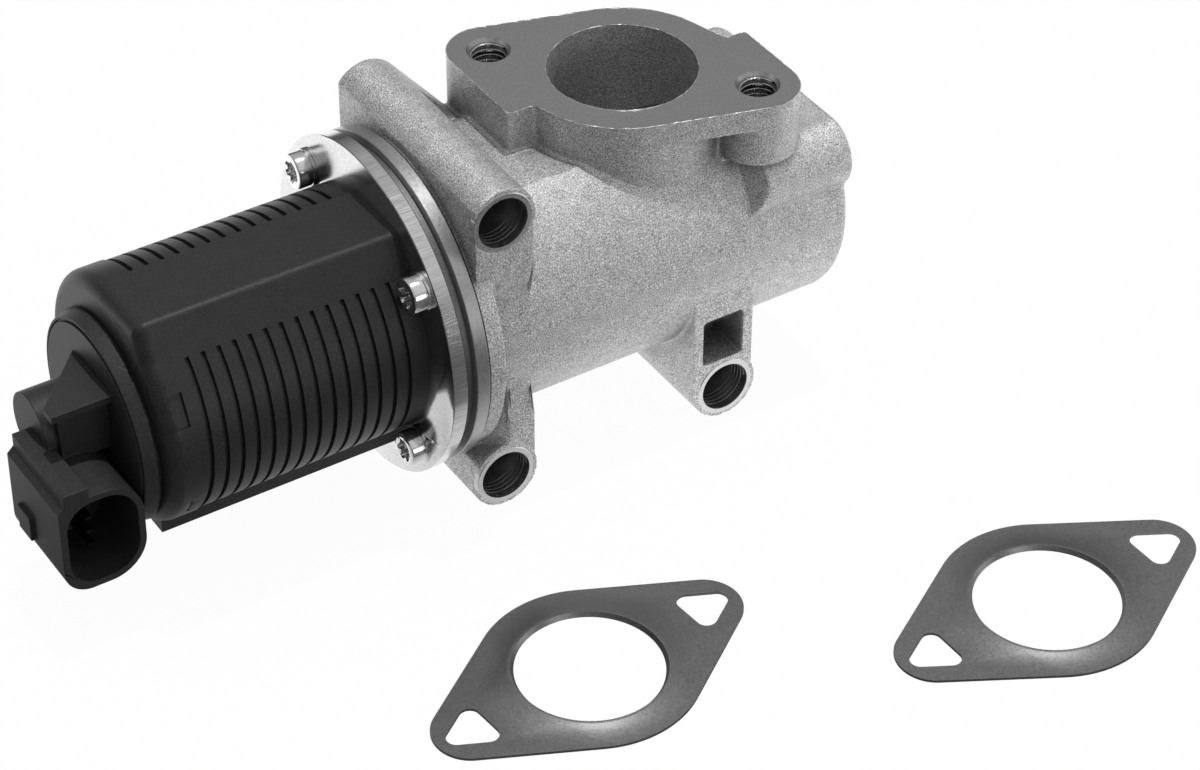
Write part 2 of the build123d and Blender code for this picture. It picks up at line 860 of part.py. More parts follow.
with BuildPart() as rotor_windings:
    with BuildSketch(cross_plane(core_start_x - winding_overhang)):
        Circle(winding_radius)
        Circle(core_root, mode=Mode.SUBTRACT)
    extrude(amount=winding_overhang - seat_gap)
    with BuildSketch(cross_plane(core_end_x + seat_gap)):
        Circle(winding_radius)
        Circle(core_root, mode=Mode.SUBTRACT)
    extrude(amount=winding_overhang)
    with BuildSketch(cross_plane(core_start_x - winding_overhang / 2)):
        with PolarLocations((winding_radius + core_root) / 2, core_slots):
            Rectangle(winding_radius - core_root - 2 * assembly_gap, core_slot_width - assembly_gap)
    extrude(amount=core_length + winding_overhang)
write(rotor_windings, "rotor_windings")

# Commutator, a copper drum cut into bars
with BuildPart() as commutator:
    with BuildSketch(cross_plane(commutator_start_x)):
        Circle(commutator_radius)
        Circle(sleeve_radius + seat_gap, mode=Mode.SUBTRACT)
        with PolarLocations(commutator_radius, core_slots):
            Rectangle(2 * commutator_slot_depth, commutator_slot_width, mode=Mode.SUBTRACT)
    extrude(amount=commutator_length)
write(commutator, "commutator")

# Front and rear ball bearings: outer ring, balls between the rings, inner race
ball_circle = (race_inner_edge + race_outer_edge) / 2
ball_radius = (race_outer_edge - race_inner_edge) / 2 - running_gap
for place, start_x in (("front", bearing_x), ("rear", rear_bearing_x)):
    with BuildPart() as outer_ring:
        revolve(
            tube_section(
                start_x, start_x + bearing_width, bearing_outer_radius - seat_gap, race_outer_edge
            ),
            axis=main_axis,
        )
    write(outer_ring, f"{place}_bearing_ring")
    with BuildPart(cross_plane(start_x + bearing_width / 2)) as bearing_balls:
        with PolarLocations(ball_circle, ball_count):
            Sphere(ball_radius)
    write(bearing_balls, f"{place}_bearing_balls")
    with BuildPart() as inner_race:
        revolve(
            tube_section(start_x, start_x + bearing_width, race_inner_edge, sleeve_radius + seat_gap),
            axis=main_axis,
        )
    write(inner_race, f"{place}_bearing_race")

# Brush plate behind the can: carries the rear bearing and the two brush boxes
brush_box_end_x = commutator_end_x - assembly_gap
brush_box_radius = can_radius - can_lip - assembly_gap
brush_inner_radius = commutator_radius + stack_gap
with BuildPart() as brush_plate:
    revolve(
        section(
            (rear_bearing_x, bearing_outer_radius),
            (rear_bearing_x, bearing_pocket_radius),
            (brush_plate_x, bearing_pocket_radius),
            (brush_plate_x, can_radius - stack_gap),
            (can_start_x, can_radius - stack_gap),
            (can_start_x, bearing_outer_radius),
        ),
        axis=main_axis,
    )
    with BuildSketch(cross_plane(can_start_x)):
        with PolarLocations((brush_box_radius + brush_inner_radius) / 2, 2):
            Rectangle(brush_box_radius - brush_inner_radius, brush_width + 2 * brush_box_wall)
    extrude(amount=brush_box_end_x - can_start_x)
    with BuildSketch(cross_plane(can_start_x)):
        with PolarLocations((brush_box_radius - brush_box_wall + brush_inner_radius) / 2, 2):
            Rectangle(brush_box_radius - brush_box_wall - brush_inner_radius, brush_width + 2 * seat_gap)
    extrude(amount=brush_box_end_x - brush_box_wall - can_start_x, mode=Mode.SUBTRACT)
write(brush_plate, "brush_plate")

# Carbon brushes, and the bent strip springs that press them inwards
brush_start = commutator_radius + running_gap
brush_end = brush_box_radius - brush_box_wall - brush_spring_room
brush_height = brush_box_end_x - brush_box_wall - can_start_x - 2 * seat_gap
with BuildPart() as carbon_brushes:
    with BuildSketch(cross_plane(can_start_x + seat_gap)):
        with PolarLocations((brush_start + brush_end) / 2, 2):
            Rectangle(brush_end - brush_start, brush_width)
    extrude(amount=brush_height)
write(carbon_brushes, "carbon_brushes")

with BuildPart() as brush_springs:
    with BuildSketch(cross_plane(can_start_x + brush_height / 4)):
        with PolarLocations(brush_end + brush_spring_room / 2, 2):
            Rectangle(brush_spring_room - 2 * seat_gap, brush_width - 2 * brush_spring_strip)
            with Locations((brush_spring_strip, 0)):
                Rectangle(brush_spring_room, brush_width - 4 * brush_spring_strip, mode=Mode.SUBTRACT)
    extrude(amount=brush_height / 2)
write(brush_springs, "brush_springs")

# Lead screw, kept from turning by its cross pin in the nose's slots
screw_rear_x = sleeve_start_x + assembly_gap
with BuildPart() as lead_screw:
    revolve(
        section(
            (screw_rear_x, magnet_radius + seat_gap),
            (screw_rear_x + magnet_length, magnet_radius + seat_gap),
            (screw_rear_x + magnet_length, 0),
            (screw_front_x, 0),
            (screw_front_x, lead_screw_radius),
            (screw_rear_x, lead_screw_radius),
        ),
        axis=main_axis,
    )
    with BuildSketch(Plane.XZ):
        with Locations((pin_x, axis_z)):
            Circle(pin_radius + seat_gap)
    extrude(amount=lead_screw_radius, both=True, mode=Mode.SUBTRACT)
write(lead_screw, "lead_screw")

with BuildPart() as cross_pin:
    with BuildSketch(Plane.XZ):
        with Locations((pin_x, axis_z)):
            Circle(pin_radius)
    extrude(amount=pin_length / 2, both=True)
write(cross_pin, "cross_pin")

with BuildPart() as position_magnet:
    revolve(
        tube_section(screw_rear_x, screw_rear_x + magnet_length - seat_gap, magnet_radius),
        axis=main_axis,
    )
write(position_magnet, "position_magnet")

# Raised pad along the cover's front shoulder, rounded over at its outer end
pad_start_x = cover_end_x + pad_start_gap
pad_top = cover_radius + pad_rise
pad_foot_y = -cover_radius * cos(radians(pad_foot_angle))
pad_foot_rise = cover_radius * sin(radians(pad_foot_angle))
with BuildPart() as cover_pad:
    with BuildSketch(cross_plane(pad_start_x)):
        with BuildLine():
            Polyline(
                (pad_back_y, can_radius),
                (pad_back_y, pad_top),
                (pad_ridge_y, pad_top),
                (pad_foot_y, pad_foot_rise),
                (pad_foot_y * can_radius / cover_radius, pad_foot_rise * can_radius / cover_radius),
                close=True,
            )
        make_face()
    extrude(amount=cover_face_x - pad_start_x)
    fillet(cover_pad.edges().filter_by(Axis.X).sort_by(Axis.Z)[-2:].sort_by(Axis.Y)[0], pad_edge_radius)
    fillet(cover_pad.faces().sort_by(Axis.X)[0].edges().sort_by(Axis.Z)[-3:], pad_end_radius)

# Motor cover: ribbed barrel, smooth end band, pad above and rail below
with BuildPart() as motor_cover:
    with BuildSketch(turning_plane) as cover_outline:
        with BuildLine():
            Polyline(
                (cover_end_x, 0),
                (cover_end_x, cover_radius + cover_band_rise),
                (cover_end_x + cover_band_length, cover_radius + cover_band_rise),
                (cover_end_x + cover_band_length, cover_radius),
                (cover_face_x, cover_radius),
                (cover_face_x, 0),
                close=True,
            )
        make_face()
        fillet(cover_outline.vertices().sort_by(Axis.X)[:2].sort_by(Axis.Y)[-1], cover_shoulder_radius)
        for index in range(groove_count):
            with Locations((groove_end_x - index * groove_pitch, cover_radius)):
                Rectangle(groove_width, 2 * groove_depth, mode=Mode.SUBTRACT)
    revolve(axis=main_axis)
    with BuildSketch(cross_plane(cover_end_x + cover_shoulder_radius)):
        with Locations((0, -cover_radius - rail_rise)):
            Rectangle(2 * rail_half_width, cover_radius + rail_rise, align=(Align.CENTER, Align.MIN))
    extrude(amount=cover_face_x - cover_end_x - cover_shoulder_radius)
    add(cover_pad.part)
    revolve(
        tube_section(cover_end_x + cover_wall, cover_face_x, can_radius + assembly_gap),
        axis=main_axis,
        mode=Mode.SUBTRACT,
    )
    revolve(
        tube_section(
            cover_face_x - cover_seal_width, cover_face_x, can_radius + assembly_gap + cover_seal_height
        ),
        axis=main_axis,
        mode=Mode.SUBTRACT,
    )
    with BuildSketch(cross_plane(cover_end_x, cap_drop)):
        Circle(spigot_radius + running_gap)
    extrude(amount=cover_wall, mode=Mode.SUBTRACT)
    window_plane = Plane(
        origin=(
            cover_end_x + cover_band_length / 2,
            -(cover_radius + cover_band_rise) * cos(radians(window_angle)),
            axis_z + (cover_radius + cover_band_rise) * sin(radians(window_angle)),
        ),
        x_dir=(1, 0, 0),
        z_dir=(0, -cos(radians(window_angle)), sin(radians(window_angle))),
    )
    with BuildSketch(window_plane):
        Rectangle(window_width, window_length)
    extrude(amount=-window_depth, mode=Mode.SUBTRACT)
write(motor_cover, "motor_cover")

# Flat seal ring between the cover's mouth and the clamp plate
with BuildPart() as cover_seal:
    revolve(
        tube_section(
            cover_face_x - cover_seal_width + seat_gap,
            cover_face_x,
            can_radius + assembly_gap + cover_seal_height - seat_gap,
            can_radius + seat_gap,
        ),
        axis=main_axis,
    )
write(cover_seal, "cover_seal")

# End cap: offset collar and disc, spigot into the cover, neck, gusset and plug shell in one moulding
cap_axis = Axis((0, 0, axis_z - cap_drop), (1, 0, 0))
shell_plane = Plane.XZ.offset(-shell_front_y)
with BuildPart() as end_cap:
    revolve(
        section(
            (cap_face_x, 0),
            (cap_face_x - cap_disc_rise, 0),
            (cap_face_x - cap_disc_rise, cap_disc_radius),
            (cap_face_x + cap_groove_depth, cap_disc_radius),
            (cap_face_x + cap_groove_depth, cap_disc_radius + cap_groove_depth),
            (cap_face_x, cap_disc_radius + cap_groove_depth),
            (cap_face_x, cap_front_radius),
            (cover_end_x, cap_back_radius),
            (cover_end_x, spigot_radius),
            (cover_end_x + spigot_length, spigot_radius),
            (cover_end_x + spigot_length, spigot_radius - spigot_wall),
            (cap_face_x + cap_wall, spigot_radius - spigot_wall),
            (cap_face_x + cap_wall, 0),
            drop=cap_drop,
        ),
        axis=cap_axis,
    )
    with BuildSketch(cross_plane(cap_face_x, neck_boss_drop)):
        with Locations((neck_boss_y, 0)):
            Circle(neck_boss_radius)
    extrude(amount=-neck_boss_length)
    for top, recess in ((gusset_rise, 0), (gusset_rise - gusset_plate, gusset_recess)):
        with BuildSketch(Plane.XY.offset(axis_z + top)):
            with BuildLine():
                Polyline(
                    (cap_face_x, gusset_back_y - recess),
                    (cap_face_x, gusset_front_y + recess),
                    (cap_face_x - neck_boss_length + recess, gusset_front_y + recess),
                    (cap_face_x - neck_boss_length + recess, gusset_tip_y),
                    close=True,
                )
            make_face()
        extrude(amount=-(gusset_plate if recess == 0 else top + shell_top_drop + shell_wall))
    with BuildSketch(shell_plane) as shell_outline:
        with BuildLine():
            Polyline(
                (shell_left_x, shell_bottom_z),
                (shell_left_x, shell_top_z - rib_foot_drop),
                (shell_left_x + rib_step, shell_top_z - rib_step_drop),
                (shell_left_x + rib_step, shell_top_z + rib_height),
                (shell_left_x + rib_width, shell_top_z + rib_height),
                (shell_left_x + rib_width, shell_top_z),
                (shell_right_x, shell_top_z),
                (shell_right_x, shell_bottom_z),
                close=True,
            )
        make_face()
        fillet(shell_outline.vertices().group_by(Axis.X)[-1], shell_round)
        fillet(shell_outline.vertices().group_by(Axis.X)[0].sort_by(Axis.Y)[0], shell_corner)
    extrude(amount=shell_front_y - shell_back_y)
    with BuildSketch(shell_plane) as shell_mouth:
        with Locations((shell_centre_x, shell_centre_z)):
            Rectangle(shell_width - 2 * shell_wall, shell_height - 2 * shell_wall)
        fillet(shell_mouth.vertices().group_by(Axis.X)[-1], shell_round - shell_wall)
        fillet(shell_mouth.vertices().group_by(Axis.X)[0], shell_corner)
    extrude(amount=-shell_depth, mode=Mode.SUBTRACT)
    with BuildSketch(cross_plane(shell_left_x)):
        with Locations((latch_y, shell_centre_z - axis_z - latch_drop)):
            Rectangle(latch_length, latch_width)
    extrude(amount=-latch_height)
write(end_cap, "end_cap")

# Seal ring round the end cap's spigot, inside the cover
with BuildPart() as cap_seal:
    revolve(
        tube_section(
            cover_end_x + cover_wall + seat_gap,
            cover_end_x + spigot_length,
            spigot_radius + cap_seal_height,
            spigot_radius + seat_gap,
            drop=cap_drop,
        ),
        axis=cap_axis,
    )
write(cap_seal, "cap_seal")

# Blade contacts standing on the floor of the plug shell
with BuildPart() as plug_pins:
    with BuildSketch(Plane.XZ.offset(-shell_floor_y)):
        with Locations((shell_centre_x, shell_centre_z)):
            with GridLocations(0, pin_pitch, 1, pin_count):
                Rectangle(pin_width, pin_thickness)
    extrude(amount=pin_reach)
write(plug_pins, "plug_pins")

# Sensor board in the end cap, and the position sensor that faces the magnet
with BuildPart() as sensor_board:
    revolve(
        tube_section(
            board_x, board_x + board_thickness, spigot_radius - spigot_wall - seat_gap, drop=cap_drop
        ),
        axis=cap_axis,
    )
write(sensor_board, "sensor_board")

with BuildPart() as position_sensor:
    with BuildSketch(cross_plane(board_x + board_thickness)):
        Rectangle(sensor_size, sensor_size)
    extrude(amount=sensor_height)
write(position_sensor, "position_sensor")

# Two loose port gaskets, thin steel with a raised bead round the gas hole and three-sided bolt openings
with BuildSketch() as bolt_opening:
    RegularPolygon(port_gasket_opening_radius, 3)
    fillet(bolt_opening.vertices(), port_gasket_opening_round)
for index, (gasket_x, gasket_y, turn) in enumerate(port_gasket_places, start=1):
    gasket_plane = Plane(
        origin=(gasket_x, gasket_y, floor_z),
        x_dir=(cos(radians(turn)), sin(radians(turn)), 0),
        z_dir=(0, 0, 1),
    )
    with BuildPart() as port_gasket:
        with BuildSketch(gasket_plane):
            Circle(port_gasket_body_radius)
            with Locations((-port_gasket_bolt_spacing / 2, 0), (port_gasket_bolt_spacing / 2, 0)):
                Circle(port_gasket_end_radius)
            make_hull()
            Circle(port_gasket_hole_radius, mode=Mode.SUBTRACT)
            with PolarLocations(port_gasket_bolt_spacing / 2, 2):
                add(bolt_opening.sketch, mode=Mode.SUBTRACT)
        extrude(amount=port_gasket_thickness)
        with BuildSketch(gasket_plane.offset(port_gasket_thickness)):
            Circle(port_gasket_hole_radius + port_gasket_bead_width)
            Circle(port_gasket_hole_radius, mode=Mode.SUBTRACT)
        extrude(amount=port_gasket_bead_height)
    write(port_gasket, f"port_gasket_{index}")
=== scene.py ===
import json
from math import cos, hypot, pi, radians, sin

import bmesh
import bpy
from mathutils import Matrix, Vector


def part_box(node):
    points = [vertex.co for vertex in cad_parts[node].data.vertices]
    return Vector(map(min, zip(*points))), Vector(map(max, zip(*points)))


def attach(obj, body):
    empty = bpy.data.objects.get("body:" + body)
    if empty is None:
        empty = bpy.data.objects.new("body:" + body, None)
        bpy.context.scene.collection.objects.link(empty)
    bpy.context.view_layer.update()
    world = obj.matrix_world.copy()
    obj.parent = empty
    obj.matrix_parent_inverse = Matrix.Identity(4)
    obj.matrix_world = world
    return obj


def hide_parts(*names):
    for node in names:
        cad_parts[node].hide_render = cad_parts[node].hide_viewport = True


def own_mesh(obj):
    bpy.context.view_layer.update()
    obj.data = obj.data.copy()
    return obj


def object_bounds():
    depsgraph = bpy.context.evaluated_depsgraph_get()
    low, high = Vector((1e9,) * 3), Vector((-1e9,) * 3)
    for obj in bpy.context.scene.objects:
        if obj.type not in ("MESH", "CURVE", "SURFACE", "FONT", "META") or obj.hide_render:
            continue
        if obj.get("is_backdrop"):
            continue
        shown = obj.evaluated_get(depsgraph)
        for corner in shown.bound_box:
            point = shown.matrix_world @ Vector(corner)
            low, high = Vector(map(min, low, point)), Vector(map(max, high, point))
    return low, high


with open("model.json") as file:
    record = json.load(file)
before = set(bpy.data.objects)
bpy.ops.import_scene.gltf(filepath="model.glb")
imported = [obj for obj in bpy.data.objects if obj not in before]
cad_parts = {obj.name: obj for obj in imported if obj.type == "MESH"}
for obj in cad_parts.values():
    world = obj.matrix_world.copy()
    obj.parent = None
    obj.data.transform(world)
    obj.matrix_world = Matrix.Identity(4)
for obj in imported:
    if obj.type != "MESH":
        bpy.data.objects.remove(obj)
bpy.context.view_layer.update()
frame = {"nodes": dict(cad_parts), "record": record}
mm = 0.001
forward, up, towards_casting = Vector((0, -1, 0)), Vector((0, 0, 1)), Vector((1, 0, 0))

# Camera: a long lens above and to the left of the valve, turned a hair about its own axis.
# Its place is given by its bearing, its height angle and how far it stands from the inlet's mouth.
bearing, height_angle, roll = radians(-33.01), radians(38.85), radians(0.49)
distance, shift_left, shift_down = 764.68, 4.63, 66.31
towards_camera = Vector(
    (sin(bearing) * cos(height_angle), -cos(bearing) * cos(height_angle), sin(height_angle))
)
level_right = Vector((cos(bearing), sin(bearing), 0))
level_up = towards_camera.cross(level_right)
image_right = cos(roll) * level_right + sin(roll) * level_up
image_up = cos(roll) * level_up - sin(roll) * level_right
camera = bpy.data.objects.new("camera", bpy.data.cameras.new("camera"))
bpy.context.scene.collection.objects.link(camera)
camera.matrix_world = Matrix((image_right, image_up, towards_camera)).transposed().to_4x4()
camera.location = (distance * towards_camera - shift_left * image_right - shift_down * image_up) * mm
camera.data.sensor_width = 36
camera.data.lens = 110.1
camera.data.clip_start, camera.data.clip_end = 0.05, 20
bpy.context.scene.camera = camera

# Valve housing: one sand casting in aluminium, blasted, so its edges are soft and its skin is grainy.
# The inlet face, the motor face and the rear face are machined flat afterwards, which leaves crisp rims.
axis_z = sum(corner.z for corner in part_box("motor_can")) / 2
motor_face_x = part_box("valve_housing")[0].x
rear_face_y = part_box("valve_housing")[1].y
mounts = {mount["name"]: mount for mount in frame["record"]["mounts"]}
tubes = [Vector(mounts[name]["pos_m"]) for name in ("upper_tube", "lower_tube", "far_tube")]
tube_front_y = -29.3 * mm
ear_circle = mounts["inlet_bolts"]["dims"]["pcd_mm"] / 2 * mm
ears = [Vector((ear_circle * cos(radians(angle)), ear_circle * sin(radians(angle)), 0)) for angle in (135, -45)]


def piece(name, mesh, body="root"):
    """Object at the origin that holds the mesh and rides on the body."""
    obj = bpy.data.objects.new(name, mesh)
    bpy.context.scene.collection.objects.link(obj)
    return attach(obj, body)


def cad_copy(node):
    """The CAD node's own shape as a bmesh, its loose triangles joined."""
    shape = bmesh.new()
    shape.from_mesh(frame["nodes"][node].data)
    bmesh.ops.remove_doubles(shape, verts=shape.verts, dist=0.002 * mm)
    return shape


def mesh_from(shape, name):
    """Mesh from the bmesh, its faces turned outwards."""
    bmesh.ops.recalc_face_normals(shape, faces=shape.faces)
    mesh = bpy.data.meshes.new(name)
    shape.to_mesh(mesh)
    shape.free()
    return mesh


def apply_modifiers(obj):
    """Turn the object's modifiers into plain mesh."""
    graph = bpy.context.evaluated_depsgraph_get()
    obj.data = bpy.data.meshes.new_from_object(obj.evaluated_get(graph))
    obj.modifiers.clear()


def soften(obj, angle=32, weighted=False):
    """Smooth shading with edges over the angle kept crisp; weighted keeps large faces flat beside fine bevels."""
    obj.data.shade_smooth()
    obj.data.set_sharp_from_angle(angle=radians(angle))
    if weighted:
        flat = obj.modifiers.new("flat", "WEIGHTED_NORMAL")
        flat.weight = 100
        flat.keep_sharp = True
        apply_modifiers(obj)


def turned(shape, outline, origin, axis, segments=72, closed=False, lobes=()):
    """Turn (along, radius) corners in mm about an axis; lobes gives the wave height of a six-lobed corner."""
    along = axis.normalized()
    side = along.orthogonal().normalized()
    other = along.cross(side)
    angles = [2 * pi * step / segments for step in range(segments)]
    rings = []
    for index, (place, radius) in enumerate(outline):
        centre = origin + along * (place * mm)
        wave = lobes[index] if index < len(lobes) else 0
        if radius == 0:
            rings.append([shape.verts.new(centre)])
            continue
        ring = []
        for angle in angles:
            reach = radius * mm + wave * mm * cos(6 * angle)
            ring.append(shape.verts.new(centre + reach * (cos(angle) * side + sin(angle) * other)))
        rings.append(ring)
    for first, second in zip(rings, rings[1:] + rings[:1] if closed else rings[1:]):
        for step in range(segments):
            corners = [first[step % len(first)], first[(step + 1) % len(first)]]
            corners += [second[(step + 1) % len(second)], second[step % len(second)]]
            shape.faces.new(list(dict.fromkeys(corners)))


def carve(obj, cutter):
    """Take the bmesh cutter's room out of the object, and keep the result as plain mesh."""
    tool = bpy.data.objects.new("cutter", mesh_from(cutter, "cutter"))
    bpy.context.scene.collection.objects.link(tool)
    cutting = obj.modifiers.new("cutting", "BOOLEAN")
    cutting.operation = "DIFFERENCE"
    cutting.solver = "EXACT"
    cutting.object = tool
    apply_modifiers(obj)
    bpy.data.objects.remove(tool)


def add(tree, kind, inputs=None, **settings):
    """New node in the tree; an input that is a socket is linked, any other value is set."""
    node = tree.nodes.new(kind)
    for key, value in settings.items():
        setattr(node, key, value)
    for key, value in (inputs or {}).items():
        if isinstance(value, bpy.types.NodeSocket):
            tree.links.new(value, node.inputs[key])
        else:
            node.inputs[key].default_value = value
    return node


def stretched(tree, value, low_in, high_in, low_out, high_out):
    """The value's range from low_in to high_in spread over low_out to high_out, and held at the ends."""
    limits = {"From Min": low_in, "From Max": high_in, "To Min": low_out, "To Max": high_out}
    return add(tree, "ShaderNodeMapRange", {"Value": value, **limits}).outputs["Result"]


def new_material(name):
    """Empty node material: its tree and the output node."""
    material = bpy.data.materials.new(name)
    material.use_nodes = True
    material.node_tree.nodes.clear()
    output = material.node_tree.nodes.new("ShaderNodeOutputMaterial")
    return material, material.node_tree, output


def ramp(tree, fac, stops):
    """Colour ramp through grey or coloured stops, given as (place, colour)."""
    node = add(tree, "ShaderNodeValToRGB", {"Fac": fac})
    while len(node.color_ramp.elements) < len(stops):
        node.color_ramp.elements.new(0.5)
    for element, (place, colour) in zip(node.color_ramp.elements, stops):
        element.position = place
        element.color = (*colour, 1) if isinstance(colour, tuple) else (colour, colour, colour, 1)
    return node.outputs["Color"]


def grained(
    name,
    stops,
    grain,
    roughness,
    metallic,
    bump=0.3,
    bump_size=0.15,
    rough_spread=0.1,
    specular=0.5,
    stretch=(1, 1, 1),
    painted_recess_shade=1.0,
):
    """Finish with a grain of the given size in mm in its colour, roughness and surface.

    Below 1, the recess share darkens the colour in corners and pockets: painted shade, worked out by ambient
    occlusion.
    """
    cloud_size, cloud_share, painted_shade_reach = 9, 0.12, 9 * mm
    material, tree, output = new_material(name)
    place = add(tree, "ShaderNodeTexCoord").outputs["Object"]
    if stretch != (1, 1, 1):
        place = add(tree, "ShaderNodeVectorMath", {0: place, 1: stretch}, operation="MULTIPLY").outputs["Vector"]
    noise_inputs = {"Vector": place, "Scale": 1 / (grain * mm), "Detail": 3.0}
    noise = add(tree, "ShaderNodeTexNoise", noise_inputs).outputs["Fac"]
    cloud_scale = 1 / (cloud_size * grain * mm)
    cloud = add(tree, "ShaderNodeTexNoise", {"Vector": place, "Scale": cloud_scale, "Detail": 2.0})
    blend = add(tree, "ShaderNodeMix", {"Factor": cloud_share, "A": noise, "B": cloud.outputs["Fac"]})
    colour = ramp(tree, blend.outputs["Result"], stops)
    # Painted shade: the colour darkens where ambient occlusion finds corners and pockets.
    if painted_recess_shade < 1:
        shade_occlusion = add(tree, "ShaderNodeAmbientOcclusion", {"Distance": painted_shade_reach}, samples=8, only_local=True)
        shade = stretched(tree, shade_occlusion.outputs["AO"], 0.0, 0.9, painted_recess_shade, 1.0)
        darker = add(tree, "ShaderNodeVectorMath", {0: colour, "Scale": shade}, operation="SCALE")
        colour = darker.outputs["Vector"]
    relief = add(tree, "ShaderNodeBump", {"Strength": bump, "Distance": bump_size * mm, "Height": noise})
    shader = add(
        tree,
        "ShaderNodeBsdfPrincipled",
        {
            "Base Color": colour,
            "Roughness": stretched(tree, noise, 0.0, 1.0, roughness - rough_spread, roughness + rough_spread),
            "Metallic": metallic,
            "Specular IOR Level": specular,
            "Normal": relief.outputs["Normal"],
        },
    )
    tree.links.new(shader.outputs["BSDF"], output.inputs["Surface"])
    return material


cast_stops = [(0.32, 0.20), (0.5, 0.56), (0.68, 1.0)]
# The cast alloy carries painted shade in its corners and pockets, down to 0.3 of its colour.
cast_finish = grained("cast_alloy", cast_stops, 0.28, 0.52, 0.8, 1.0, 0.16, painted_recess_shade=0.3)
machined_finish = grained("machined_face", [(0.3, 0.32), (0.7, 0.42)], 0.5, 0.36, 0.95, 0.1, 0.03)
machined_index = 1

# The solid casting before machining: bores filled in, more metal on the three faces that are cut later,
# and the lobe's end leaning back from the barrel as its draft does.
tube_plug, tube_plug_inset = [(0, 0), (0, 6.4), (54, 6.4), (54, 0)], 0.3 * mm
ear_plug = [(0, 0), (0, 5.4), (15.5, 5.4), (15.5, 0)]
machining_allowance, rear_skin, touching = 2.5 * mm, 0.6 * mm, 0.01 * mm
inlet_side_x = -34.0 * mm
barrel_radius, lobe_radius = 30.0 * mm, 36 * mm
lobe_start_x, lobe_front_y, lobe_lean = 14.0 * mm, -10 * mm, 0.85
casting_shape = cad_copy("valve_housing")
for tube in tubes:
    turned(casting_shape, tube_plug, Vector((tube.x, tube_front_y + tube_plug_inset, tube.z)), -forward)
for ear in ears:
    turned(casting_shape, ear_plug, ear, -up)
for vertex in casting_shape.verts:
    from_axis = hypot(vertex.co.y, vertex.co.z - axis_z)
    at_lobe_start = abs(vertex.co.x - lobe_start_x) < touching and vertex.co.y < lobe_front_y
    if at_lobe_start and barrel_radius < from_axis < lobe_radius:
        vertex.co.x += lobe_lean * (from_axis - barrel_radius)
    if abs(vertex.co.z) < touching and vertex.co.x > inlet_side_x:
        vertex.co.z += machining_allowance
    if abs(vertex.co.x - motor_face_x) < touching:
        vertex.co.x -= machining_allowance
    if vertex.co.y > rear_face_y - rear_skin:
        vertex.co.y += machining_allowance
casting = piece("housing_casting", mesh_from(casting_shape, "housing_casting"))

# Webs and tubes stand a little behind the round end flange, so that only the flange is machined.
flange_radius, past_casting, web_recess = 35.2, 70, 0.7
standback = bmesh.new()
standback_outline = [
    (-5, flange_radius), (-5, past_casting), (web_recess, past_casting), (web_recess, flange_radius),
]
turned(standback, standback_outline, Vector((motor_face_x, 0, axis_z)), towards_casting, closed=True)
carve(casting, standback)

# Sand and blasting round every edge a little.
skin = casting.modifiers.new("skin", "REMESH")
skin.mode = "VOXEL"
skin.voxel_size = 0.45 * mm
blast = casting.modifiers.new("blast", "SMOOTH")
blast.factor = 0.5
blast.iterations = 2
thin = casting.modifiers.new("thin", "DECIMATE")
thin.ratio = 0.25
apply_modifiers(casting)
casting.data.materials.append(cast_finish)
casting.data.materials.append(machined_finish)

# The front web between the two tubes runs out into the barrel, with no step left in the middle.
web_from_x, web_to_x, web_front_y = -50.2 * mm, -37.0 * mm, -20 * mm
blend_half, blend_run = 12.5 * mm, 5.0 * mm
cut = bmesh.new()
cut.from_mesh(casting.data)
for vertex in cut.verts:
    off_axis = abs(vertex.co.z - axis_z)
    from_axis = hypot(vertex.co.y, off_axis)
    on_web = web_from_x < vertex.co.x < web_to_x and vertex.co.y < web_front_y
    if on_web and from_axis > barrel_radius:
        share = min(1, max(0, (blend_half + blend_run - off_axis) / blend_run))
        vertex.co.y *= 1 + share * (barrel_radius / from_axis - 1)

# Three machined faces. The inlet face's cut edge is kept, because the burr wire with its painted highlight runs
# along it.
everywhere = -1
for point, normal, from_x in (
    ((0, 0, 0), (0, 0, 1), inlet_side_x),
    ((motor_face_x, 0, 0), (-1, 0, 0), everywhere),
    ((0, rear_face_y, 0), (0, 1, 0), everywhere),
):
    chosen = [vertex for vertex in cut.verts if vertex.co.x > from_x]
    inside = set(chosen)
    every = chosen + [item for item in (*cut.edges, *cut.faces) if all(v in inside for v in item.verts)]
    result = bmesh.ops.bisect_plane(cut, geom=every, plane_co=point, plane_no=normal, clear_outer=True)
    rim = [item for item in result["geom_cut"] if isinstance(item, bmesh.types.BMEdge)]
    if normal[2] == 1:
        burr_highlight_ends = {vertex: tuple(vertex.co) for item in rim for vertex in item.verts}
        burr_highlight_order = {vertex: index for index, vertex in enumerate(burr_highlight_ends)}
        burr_highlight_runs = [tuple(burr_highlight_order[vertex] for vertex in item.verts) for item in rim]
        burr_highlight_points = list(burr_highlight_ends.values())
    filled = bmesh.ops.triangle_fill(cut, edges=rim, use_beauty=True, normal=normal)
    for item in filled["geom"]:
        if isinstance(item, bmesh.types.BMFace):
            item.material_index = machined_index
bmesh.ops.recalc_face_normals(cut, faces=cut.faces)
cut.to_mesh(casting.data)
cut.free()

